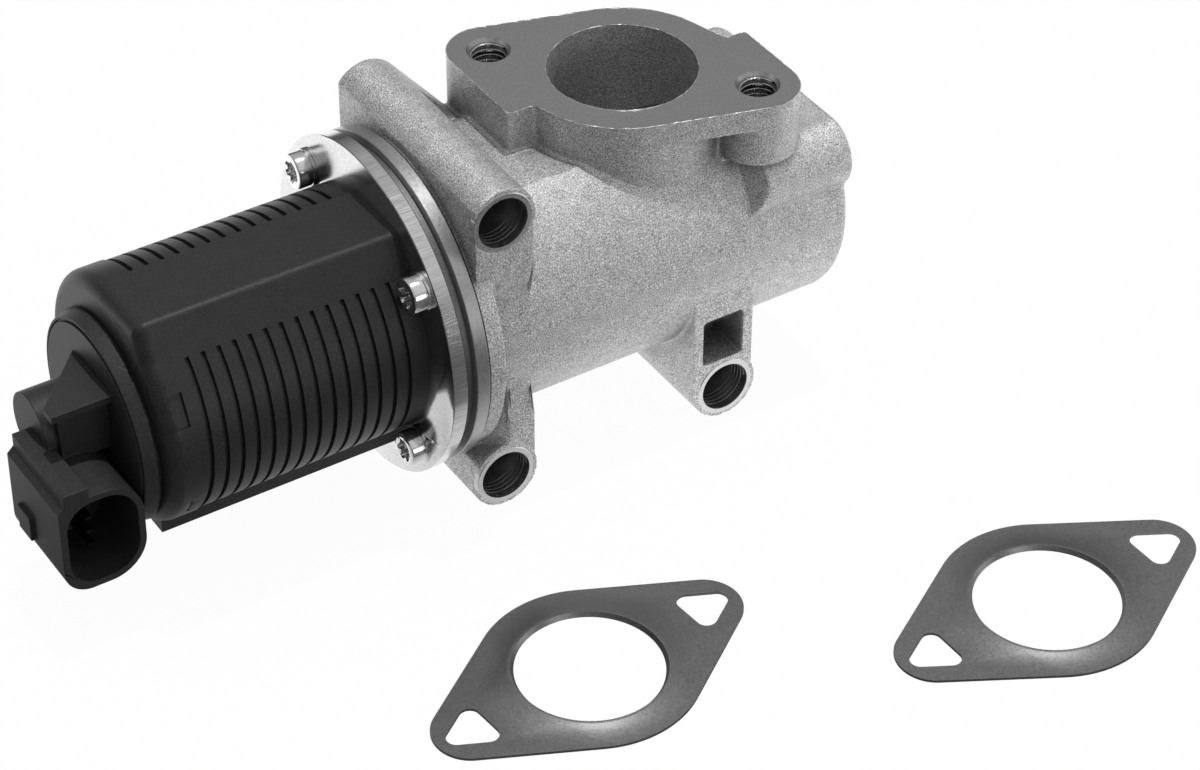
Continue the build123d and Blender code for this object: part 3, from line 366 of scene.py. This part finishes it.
# Drilled holes in the casting: two tapped ear holes with a chamfer, three stepped bores through the tubes.
ear_radius, ear_depth, ear_tip, chamfer = 4.0, 15, 2.2, 0.73
mouth_radius, mouth_depth, mouth_step, bore_radius, bore_end = 5.72, 12, 0.8, 4.4, 58
drills = bmesh.new()
for ear in ears:
    outline = [(-1, 0), (-1, ear_radius + chamfer + 1), (chamfer, ear_radius)]
    turned(drills, outline + [(ear_depth, ear_radius), (ear_depth + ear_tip, 0)], ear, -up)
for tube in tubes:
    outline = [(-1, 0), (-1, mouth_radius), (mouth_depth, mouth_radius), (mouth_depth + mouth_step, bore_radius)]
    mouth = Vector((tube.x, tube_front_y, tube.z))
    turned(drills, outline + [(bore_end, bore_radius), (bore_end, 0)], mouth, -forward)
carve(casting, drills)
drilled_top, drilled_bottom = -0.01 * mm, -17.5 * mm
for face in casting.data.polygons:
    centre = face.center
    from_ear = min((centre.xy - ear.xy).length for ear in ears)
    from_tube = min(hypot(centre.x - tube.x, centre.z - tube.z) for tube in tubes)
    in_ear = from_ear < (ear_radius + 0.9) * mm and drilled_bottom < centre.z < drilled_top
    if in_ear or from_tube < (mouth_radius + 0.01) * mm:
        face.material_index = machined_index
soften(casting, 38)

# Bright spot faces round the three tubes' mouths, where the bolts' heads were given a flat seat.
spot_height = 0.12
spot_outline = [(0, 5.74), (0, 6.75), (spot_height, 6.9), (1.6, 6.9), (1.6, 5.74)]
spot_shape = bmesh.new()
for tube in tubes:
    spot_face = Vector((tube.x, tube_front_y - spot_height * mm, tube.z))
    turned(spot_shape, spot_outline, spot_face, -forward, closed=True)
spots = piece("spot_faces", mesh_from(spot_shape, "spot_faces"))
soften(spots)
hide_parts("valve_housing")
spots.data.materials.append(grained("spot_face", [(0.3, 0.5), (0.7, 0.66)], 0.5, 0.3, 1.0, 0.1, 0.03))


def node_group(name, **sockets):
    """Geometry tree with the given inputs beside its geometry; returns the tree, its input and its output."""
    tree = bpy.data.node_groups.new(name, "GeometryNodeTree")
    tree.interface.new_socket("Geometry", in_out="INPUT", socket_type="NodeSocketGeometry")
    tree.interface.new_socket("Geometry", in_out="OUTPUT", socket_type="NodeSocketGeometry")
    for key, kind in sockets.items():
        tree.interface.new_socket(key, in_out="INPUT", socket_type="NodeSocket" + kind)
    return tree, tree.nodes.new("NodeGroupInput"), tree.nodes.new("NodeGroupOutput")


def combined(tree, operation, first, second):
    """Two numbers joined by a math node."""
    return add(tree, "ShaderNodeMath", {0: first, 1: second}, operation=operation).outputs["Value"]


def end_group(tree, geometry, finish, result):
    """Make the tree's copies real, give them the finish and hand them out."""
    real = add(tree, "GeometryNodeRealizeInstances", {"Geometry": geometry})
    painted = add(tree, "GeometryNodeSetMaterial", {"Geometry": real.outputs["Geometry"], "Material": finish})
    tree.links.new(painted.outputs["Geometry"], result.inputs["Geometry"])


def grow(name, tree, mesh, values, body="root"):
    """Run the tree on the mesh with its named inputs set, and keep the result as plain mesh."""
    obj = piece(name, mesh, body)
    modifier = obj.modifiers.new("grow", "NODES")
    modifier.node_group = tree
    sockets = {item.name: item.identifier for item in tree.interface.items_tree if item.in_out == "INPUT"}
    for key, value in values.items():
        modifier[sockets[key]] = value
    apply_modifiers(obj)
    return obj


def points_mesh(name, points, edges=()):
    """Mesh of bare points, with edges where they are given."""
    mesh = bpy.data.meshes.new(name)
    mesh.from_pydata(points, edges, [])
    return mesh


# Threads of the two tapped ear holes: one spiral ridge, M8 by 1.25, standing in each hole.
thread_finish = grained("thread", [(0.3, 0.42), (0.7, 0.6)], 0.4, 0.28, 1.0, 0.1, 0.03)
tree, given, result = node_group(
    "thread", Turns="Float", Radius="Float", Pitch="Float", Ridge="Float", Finish="Material"
)
turns, radius, pitch = (given.outputs[name] for name in ("Turns", "Radius", "Pitch"))
rise = combined(tree, "MULTIPLY", turns, pitch)
spiral = add(
    tree,
    "GeometryNodeCurveSpiral",
    {"Resolution": 48, "Rotations": turns, "Start Radius": radius, "End Radius": radius, "Height": rise},
)
profile = add(
    tree, "GeometryNodeCurvePrimitiveCircle", {"Resolution": 3, "Radius": given.outputs["Ridge"]}, mode="RADIUS"
)
ridge = add(
    tree,
    "GeometryNodeCurveToMesh",
    {"Curve": spiral.outputs["Curve"], "Profile Curve": profile.outputs["Curve"]},
)
placed = add(
    tree,
    "GeometryNodeInstanceOnPoints",
    {"Points": given.outputs["Geometry"], "Instance": ridge.outputs["Mesh"]},
)
end_group(tree, placed.outputs["Instances"], given.outputs["Finish"], result)
thread_depth = 13.5 * mm
thread_sizes = {"Turns": 10.0, "Radius": 3.82 * mm, "Pitch": 1.25 * mm, "Ridge": 0.42 * mm}
grow(
    "threads",
    tree,
    points_mesh("threads", [ear - thread_depth * up for ear in ears]),
    {**thread_sizes, "Finish": thread_finish},
)

# Tool marks left in the tubes' wide mouths: the same spiral, finer and flatter.
mark_finish = grained("tool_marks", [(0.3, 0.18), (0.7, 0.30)], 0.4, 0.35, 1.0, 0.1, 0.03)
mark_depth = 5.5 * mm
mark_sizes = {"Turns": 4.0, "Radius": 5.68 * mm, "Pitch": 1.1 * mm, "Ridge": 0.13 * mm}
lying = Matrix.Rotation(radians(90), 4, "X")
for index, tube in enumerate(tubes):
    mark_start = points_mesh("tool_marks", [(0, 0, 0)])
    marks = grow("tool_marks_%d" % index, tree, mark_start, {**mark_sizes, "Finish": mark_finish})
    marks.data.transform(Matrix.Translation((tube.x, tube_front_y + mark_depth, tube.z)) @ lying)

# Burr on the inlet face's rims: a fine broken line of metal along the cut edge, its bright colour a painted
# highlight.
burr_highlight_finish = grained("burr_highlight", [(0.3, 0.75), (0.7, 0.9)], 0.5, 0.3, 0.9, 0.1, 0.03)
tree, given, result = node_group("burr_highlight", Thickness="Float", Step="Float", Finish="Material", Seed="Int")
runs = add(tree, "GeometryNodeMeshToCurve", {"Mesh": given.outputs["Geometry"]})
even = add(
    tree,
    "GeometryNodeResampleCurve",
    {"Curve": runs.outputs["Curve"], "Length": given.outputs["Step"]},
    mode="LENGTH",
)
breaks = add(tree, "FunctionNodeRandomValue", {2: 0.0, 3: 1.0, "Seed": given.outputs["Seed"]}, data_type="FLOAT")
varied = add(
    tree, "GeometryNodeSetCurveRadius", {"Curve": even.outputs["Curve"], "Radius": breaks.outputs[1]}
)
profile = add(
    tree,
    "GeometryNodeCurvePrimitiveCircle",
    {"Resolution": 3, "Radius": given.outputs["Thickness"]},
    mode="RADIUS",
)
wire = add(
    tree,
    "GeometryNodeCurveToMesh",
    {"Curve": varied.outputs["Curve"], "Profile Curve": profile.outputs["Curve"], "Scale": breaks.outputs[1]},
)
end_group(tree, wire.outputs["Mesh"], given.outputs["Finish"], result)
burr_highlight_path = points_mesh("burr_highlight", burr_highlight_points, burr_highlight_runs)
burr_highlight_sizes = {"Thickness": 0.2 * mm, "Step": 0.9 * mm}
burr_highlight = grow("edge_burr", tree, burr_highlight_path, {**burr_highlight_sizes, "Finish": burr_highlight_finish, "Seed": 3})

# Pieces that the CAD nodes already show well, each in the finish of its own material slot.
# Each row gives the darkest and lightest colour, the grain in mm, roughness, metal, and the bump's share and mm.
finish_rows = {
    "turned_alloy": (0.42, 0.52, 0.6, 0.32, 0.95, 0.1, 0.03),
    "valve_steel": (0.36, 0.44, 0.6, 0.34, 1.0, 0.1, 0.03),
    "spring_steel": (0.22, 0.30, 0.6, 0.3, 1.0, 0.1, 0.03),
    "gasket_steel": (0.20, 0.25, 0.5, 0.36, 0.9, 0.1, 0.03),
    "gasket_black": (0.012, 0.02, 0.5, 0.7, 0.0, 0.2, 0.05),
    "seal_rubber": (0.01, 0.015, 0.4, 0.6, 0.0, 0.1, 0.05),
    "bush_bronze": ((0.4, 0.26, 0.1), (0.5, 0.34, 0.15), 0.3, 0.4, 1.0),
    "copper": ((0.5, 0.2, 0.09), (0.64, 0.3, 0.14), 0.5, 0.35, 1.0),
    "lamination": (0.2, 0.3, 0.3, 0.5, 0.9),
    "magnet_grey": (0.05, 0.08, 0.3, 0.6, 0.2),
    "carbon": (0.02, 0.04, 0.3, 0.5, 0.0),
    # The pins' near-black colour is painted shade: the dark inside the plug's mouth, put on the pins.
    "pin_metal": ((0.03, 0.027, 0.02), (0.05, 0.045, 0.035), 0.5, 0.5, 1.0),
    "board_green": ((0.01, 0.08, 0.03), (0.02, 0.12, 0.05), 0.5, 0.3, 0.0),
    "chip_black": (0.01, 0.02, 0.3, 0.4, 0.0),
    "brush_plate_tan": ((0.2, 0.13, 0.06), (0.3, 0.2, 0.1), 0.4, 0.5, 0.0),
}
slot_finish = {
    name: grained(name, [(0.3, dark), (0.7, light)], *measures)
    for name, (dark, light, *measures) in finish_rows.items()
}
slot_finish["screw_steel"] = grained(
    "screw_steel", [(0.3, 0.75), (0.7, 0.85)], 0.5, 0.14, 1.0, 0.05, 0.02, rough_spread=0.04
)
slot_finish["plate_steel"] = grained(
    "plate_steel",
    [(0.32, 0.56), (0.68, 0.82)],
    0.25,
    0.16,
    1.0,
    0.2,
    0.04,
    rough_spread=0.06,
    stretch=(0.05, 1, 1),
)
slot_finish["cover_black"] = grained(
    "cover_black", [(0.3, 0.014), (0.7, 0.036)], 0.3, 0.42, 0.0, 0.7, 0.08, specular=0.3
)
slot_finish["cap_black"] = grained(
    "cap_black", [(0.3, 0.018), (0.7, 0.044)], 0.3, 0.48, 0.0, 0.7, 0.08, specular=0.3
)
slot_of = {part["node"]: part["material_slot"] for part in frame["record"]["subparts"]}
for node, obj in frame["nodes"].items():
    if slot_of[node] in slot_finish:
        obj.data.materials.clear()
        obj.data.materials.append(slot_finish[slot_of[node]])


def eased(node, width, segments=2, finish=None):
    """The CAD node's shape with its sharp edges rounded to the width in mm, in the node's place."""
    flat_within, sharp_over = radians(0.4), radians(30)
    shape = cad_copy(node)
    bmesh.ops.dissolve_limit(shape, angle_limit=flat_within, verts=shape.verts, edges=shape.edges)
    obj = piece(node + "_eased", mesh_from(shape, node + "_eased"))
    rounding = obj.modifiers.new("rounding", "BEVEL")
    rounding.width = width * mm
    rounding.segments = segments
    rounding.limit_method = "ANGLE"
    rounding.angle_limit = sharp_over
    apply_modifiers(obj)
    soften(obj, 35)
    obj.data.materials.append(finish or slot_finish[slot_of[node]])
    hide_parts(node)
    return obj


# Rings between the casting and the motor, each with its turned edges broken by a fine chamfer.
# The spacer is duller than its neighbours.
spacer_finish = grained("spacer_rim", [(0.3, 0.14), (0.7, 0.24)], 0.4, 0.5, 0.9, 0.3, 0.05)
eased("adapter_flange", 0.15, segments=1)
eased("slotted_spacer", 0.1, segments=1, finish=spacer_finish)
eased("clamp_plate", 0.18, segments=1)

# Motor cover and end cap, moulded in black plastic with small radii on every edge.
# The cap's collar stands off the cover by a narrow groove.
cover = eased("motor_cover", 0.4)
cap = eased("end_cap", 0.3)
cover_end_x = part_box("motor_cover")[0].x
cap_drop, seam_inner, seam_outer = 3.3 * mm, 22.0, 24.5
cap_axis = Vector((cover_end_x, 0, axis_z - cap_drop))
seam_outline = [(-0.7, seam_inner), (-0.7, seam_outer), (0.3, seam_outer), (0.3, seam_inner)]
seam = bmesh.new()
turned(seam, seam_outline, cap_axis, towards_casting, 96, closed=True)
carve(cap, seam)


def arc_slot(obj, x_from, x_to, angle_from, angle_to):
    """Cut a curved block between two places and two angles, in mm and degrees, out of the object's rim."""
    inner, outer, steps = 25.9, 27.4, 6
    corners = ((x_from, inner), (x_from, outer), (x_to, outer), (x_to, inner))
    shape = bmesh.new()
    rings = []
    for step in range(steps + 1):
        angle = radians(angle_from + (angle_to - angle_from) * step / steps)
        rings.append(
            [
                shape.verts.new((x * mm, -radius * mm * cos(angle), axis_z + radius * mm * sin(angle)))
                for x, radius in corners
            ]
        )
    for first, second in zip(rings, rings[1:]):
        for corner in range(4):
            after = (corner + 1) % 4
            shape.faces.new((first[corner], first[after], second[after], second[corner]))
    shape.faces.new(rings[0])
    shape.faces.new(rings[-1][::-1])
    carve(obj, shape)


# Snap slot in the cover's end band, shaped like a hook: a slit along the band and its short foot.
arc_slot(cover, -117.3, -116.8, -24.6, -36.7)
arc_slot(cover, -117.3, -115.4, -36.0, -36.9)
for moulding in (cover, cap):
    soften(moulding, 35, weighted=True)

# Return spring, oil-tempered wire, which closes up as the valve opens; it is given a mesh of its own.
spring = piece("return_spring_wire", mesh_from(cad_copy("return_spring"), "return_spring_wire"))
soften(spring, 40)
spring.data.materials.append(slot_finish["spring_steel"])
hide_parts("return_spring")
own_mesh(spring)

# Two loose port gaskets, pressed from sheet steel: the bead round the gas hole is a rounded ridge.
bead_middle, crest_inner, crest_outer = 16.4 * mm, 15.95, 16.75
for node in ("port_gasket_1", "port_gasket_2"):
    low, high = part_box(node)
    centre = (low + high) / 2
    sheet = cad_copy(node)
    for vertex in sheet.verts:
        if vertex.co.z > high.z - 0.05 * mm:
            across = Vector((vertex.co.x - centre.x, vertex.co.y - centre.y))
            reach = crest_inner if across.length < bead_middle else crest_outer
            across *= reach * mm / across.length
            vertex.co.x, vertex.co.y = centre.x + across.x, centre.y + across.y
    gasket = piece(node + "_pressed", mesh_from(sheet, node + "_pressed"))
    soften(gasket, 36)
    gasket.data.materials.append(slot_finish["gasket_steel"])
    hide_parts(node)

# Four clamp screws: six-lobed socket, domed head on a collar, one mesh set in each place by nodes.
# The outline runs from the thread's end over the head and down into the socket, in mm.
screw_outline = [
    (22.0, 0), (22.0, 2.1), (21.6, 2.48), (4.0, 2.48), (4.0, 4.1), (3.9, 4.22), (3.3, 4.22), (3.18, 4.12),
    (3.14, 3.93), (0.6, 3.93), (0.22, 3.78), (0.0, 3.4), (0.0, 2.62), (0.28, 2.22), (2.3, 2.14), (2.6, 1.0),
    (2.7, 0),
]
screw_waves = [0] * 13 + [0.26, 0.26, 0, 0]
screw_shape = bmesh.new()
turned(screw_shape, screw_outline, Vector((0, 0, 0)), towards_casting, segments=96, lobes=screw_waves)
screw_model = bpy.data.objects.new("screw_model", mesh_from(screw_shape, "screw_model"))
bpy.context.scene.collection.objects.link(screw_model)
soften(screw_model, 34)
tree, given, result = node_group("screws", Screw="Object", Finish="Material", Seed="Int")
model = add(tree, "GeometryNodeObjectInfo", {"Object": given.outputs["Screw"]}, transform_space="ORIGINAL")
turn = add(tree, "FunctionNodeRandomValue", {2: 0.0, 3: 1.05, "Seed": given.outputs["Seed"]}, data_type="FLOAT")
angles = add(tree, "ShaderNodeCombineXYZ", {"X": turn.outputs[1]})
placed = add(
    tree,
    "GeometryNodeInstanceOnPoints",
    {
        "Points": given.outputs["Geometry"],
        "Instance": model.outputs["Geometry"],
        "Rotation": angles.outputs["Vector"],
    },
)
end_group(tree, placed.outputs["Instances"], given.outputs["Finish"], result)
screw_head_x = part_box("clamp_screws")[0].x
screw_circle = 31.0 * mm
screw_places = [
    (screw_head_x, -screw_circle * cos(radians(angle)), axis_z + screw_circle * sin(radians(angle)))
    for angle in (136.0, 38.3, -46.5, -134.0)
]
screws = grow(
    "clamp_screws_detail",
    tree,
    points_mesh("clamp_screws", screw_places),
    {"Screw": screw_model, "Finish": slot_finish["screw_steel"], "Seed": 7},
)
bpy.data.objects.remove(screw_model)
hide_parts("clamp_screws")

# Stage: a wide floor that the camera and the metal's reflections see as white, with a faint shadow.
# What the metal sees of it fades towards the camera, where the studio is dark.
floor_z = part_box("port_gasket_1")[0].z
floor_shape = bmesh.new()
bmesh.ops.create_grid(floor_shape, x_segments=1, y_segments=1, size=4.0)
floor_mesh = bpy.data.meshes.new("floor")
floor_shape.to_mesh(floor_mesh)
floor_shape.free()
floor = bpy.data.objects.new("floor", floor_mesh)
floor.location.z = floor_z - 0.05 * mm
bpy.context.scene.collection.objects.link(floor)
floor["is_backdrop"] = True
white, tree, output = new_material("floor_white")
rays = add(tree, "ShaderNodeLightPath").outputs
glow_share, camera_white = 0.94, 1.03
seen = combined(tree, "MAXIMUM", rays["Is Camera Ray"], rays["Is Glossy Ray"])
share = combined(tree, "MULTIPLY", seen, glow_share)
spot = add(tree, "ShaderNodeTexCoord").outputs["Object"]
nearness = add(tree, "ShaderNodeVectorMath", {0: spot, 1: (-0.545, -0.839, 0)}, operation="DOT_PRODUCT")
reflected = stretched(tree, nearness.outputs["Value"], 0.03, 0.095, 1.25, 0.12)
level = add(tree, "ShaderNodeMix", {"Factor": rays["Is Camera Ray"], "A": reflected, "B": camera_white})
paper = add(tree, "ShaderNodeBsdfDiffuse", {"Color": (0.5, 0.5, 0.5, 1)})
glow = add(tree, "ShaderNodeEmission", {"Color": (1, 1, 1, 1), "Strength": level.outputs["Result"]})
both = add(tree, "ShaderNodeMixShader", {0: share, 1: paper.outputs["BSDF"], 2: glow.outputs["Emission"]})
tree.links.new(both.outputs["Shader"], output.inputs["Surface"])
floor.data.materials.append(white)

# Room: bright overhead, darker near the ground, towards the left and behind the valve; white to the camera.
world = bpy.data.worlds.new("studio")
bpy.context.scene.world = world
world.use_nodes = True
tree = world.node_tree
tree.nodes.clear()
rays = add(tree, "ShaderNodeLightPath").outputs
seen = combined(tree, "MAXIMUM", rays["Is Camera Ray"], rays["Is Transmission Ray"])
ray = add(tree, "ShaderNodeTexCoord").outputs["Generated"]
ray_parts = add(tree, "ShaderNodeSeparateXYZ", {"Vector": ray}).outputs
away = add(tree, "ShaderNodeVectorMath", {0: ray, 1: (0.42, 0.65, 0.63)}, operation="DOT_PRODUCT")
overhead = stretched(tree, ray_parts["Z"], 0.1, 0.6, 0.06, 0.58)
from_left = stretched(tree, ray_parts["X"], -0.9, 0.1, 0.3, 1.1)
from_behind = stretched(tree, away.outputs["Value"], 0.6, 0.95, 1.0, 0.7)
room = combined(tree, "MULTIPLY", combined(tree, "MULTIPLY", overhead, from_behind), from_left)
strength = add(tree, "ShaderNodeMix", {"Factor": seen, "A": room, "B": 1.0})
sky = add(tree, "ShaderNodeBackground", {"Color": (1, 1, 1, 1), "Strength": strength.outputs["Result"]})
add(tree, "ShaderNodeOutputWorld", {"Surface": sky.outputs["Background"]})


def lamp(name, kind, power, direction):
    """Light of the kind that shines from the direction towards the valve."""
    light = bpy.data.lights.new(name, kind)
    light.energy = power
    obj = bpy.data.objects.new(name, light)
    bpy.context.scene.collection.objects.link(obj)
    obj.rotation_mode = "QUATERNION"
    obj.rotation_quaternion = direction.to_track_quat("Z", "Y")
    return obj


# Lamps: a soft sun nearly overhead, and three square soft boxes at the left, right and front.
key = lamp("key", "SUN", 1.6, Vector((0.12, 0.05, 0.99)))
key.data.angle = radians(1.5)
lit_point = Vector((0, 0, -0.04))
for name, place, size, power in (
    ("left_box", (-0.7, 0.5, 0.9), 0.6, 0.8),
    ("right_box", (1.2, -0.6, 0.12), 0.8, 3),
    ("front_box", (0.1, -1.2, 0.1), 0.5, 2),
):
    box = lamp(name, "AREA", power, Vector(place) - lit_point)
    box.data.size = size
    box.location = place

# The room that the shown pieces take up, the floor left out.
low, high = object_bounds()
bpy.context.scene.view_settings.view_transform = "Standard"
